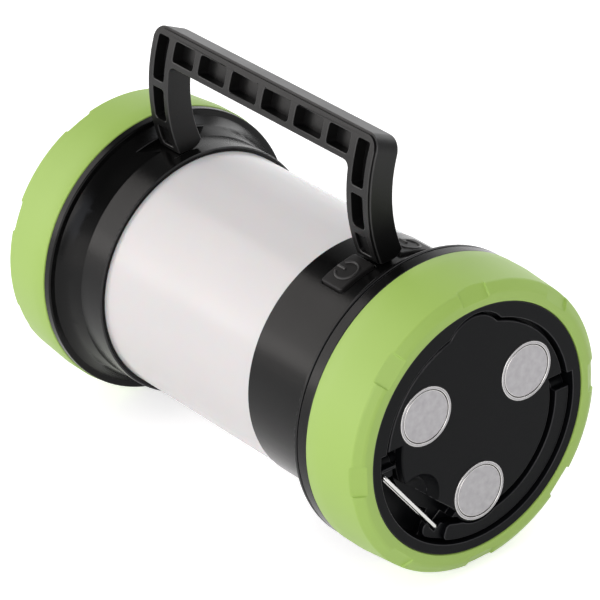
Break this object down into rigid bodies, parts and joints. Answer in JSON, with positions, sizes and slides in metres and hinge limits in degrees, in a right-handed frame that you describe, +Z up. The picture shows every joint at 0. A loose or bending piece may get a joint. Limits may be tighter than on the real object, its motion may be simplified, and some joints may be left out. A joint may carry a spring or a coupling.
{
  "type": "camping lantern",
  "caption": "Camping lantern with a frosted light column, a front spotlight, rubber end rings, a folding ribbed handle, and a magnetic base with a fold-out snap hook.",
  "frame": {"origin": "centre of the lantern's length and width on the floor under its two rings, lying on its side with the handle up", "axes": "+X along the lantern towards the magnet base, +Z up towards the handle, +Y to the side that the handle folds to"},
  "size_m": [0.183, 0.0998, 0.136],
  "materials": {
    "green_rubber": "satin",
    "black_plastic": "satin",
    "button_rubber": "matt",
    "frosted_plastic": "frosted",
    "white_plastic": "satin",
    "clear_plastic": "polished",
    "seal_rubber": "matt",
    "nickel_plate": "satin",
    "bright_steel": "bright",
    "circuit_board": "satin",
    "dark_components": "matt",
    "led_phosphor": "satin",
    "cell_wrap": "satin",
    "bare_aluminium": "satin",
    "bright_reflector": "mirror"
  },
  "bodies": {
    "lantern": {"base_bumper": "green_rubber", "head_bumper": "green_rubber", "base_cover": "black_plastic", "magnet_plate": "black_plastic", "control_housing": "black_plastic", "head_housing": "black_plastic", "lens_ring": "black_plastic", "diffuser_tube": "frosted_plastic", "light_core": "white_plastic", "lens": "clear_plastic", "lower_seal": "seal_rubber", "upper_seal": "seal_rubber", "lens_gasket": "seal_rubber", "magnet_cups": "nickel_plate", "magnet_discs": "nickel_plate", "base_screws": "bright_steel", "board_screws": "bright_steel", "head_screws": "bright_steel", "charge_socket": "bright_steel", "main_board": "circuit_board", "led_strips": "circuit_board", "switch_boards": "circuit_board", "spot_board": "circuit_board", "board_components": "dark_components", "tact_switches": "dark_components", "cell_cradle": "dark_components", "strip_leds": "led_phosphor", "spot_led": "led_phosphor", "battery_cells": "cell_wrap", "heat_sink": "bare_aluminium", "reflector": "bright_reflector"},
    "handle": {"handle": "black_plastic", "handle_pins": "bright_steel"},
    "power_button": {"power_button": "button_rubber"},
    "mode_button": {"mode_button": "button_rubber"},
    "hook": {"hook_body": "black_plastic"},
    "gate": {"hook_gate": "bright_steel"},
    "port_cover": {"port_cover": "button_rubber"}
  },
  "joints": [
    {"name": "handle_fold", "type": "hinge", "parent": "lantern", "child": "handle", "pos_m": [-0.00485, 0, 0.0977], "axis": [-1, 0, 0], "range_deg": [0, 102]},
    {"name": "power_button_press", "type": "slide", "parent": "lantern", "child": "power_button", "axis": [0, 0.284, -0.9588], "range_m": [0, 0.0008], "stiffness_N_per_m": 2500},
    {"name": "mode_button_press", "type": "slide", "parent": "lantern", "child": "mode_button", "axis": [0, -0.284, -0.9588], "range_m": [0, 0.0008], "stiffness_N_per_m": 2500},
    {"name": "hook_fold", "type": "hinge", "parent": "lantern", "child": "hook", "pos_m": [0.0851, 0, 0.0499], "axis": [0, -1, 0], "range_deg": [0, 90]},
    {"name": "gate_open", "type": "hinge", "parent": "hook", "child": "gate", "pos_m": [0.0851, -0.03626, 0.04673], "axis": [1, 0, 0], "range_deg": [0, 10], "stiffness_Nm_per_rad": 0.03},
    {"name": "port_cover_open", "type": "hinge", "parent": "lantern", "child": "port_cover", "pos_m": [0.0452, 0.02581, 0.01571], "axis": [-1, 0, 0], "range_deg": [0, 90], "stiffness_Nm_per_rad": 0.004}
  ]
}
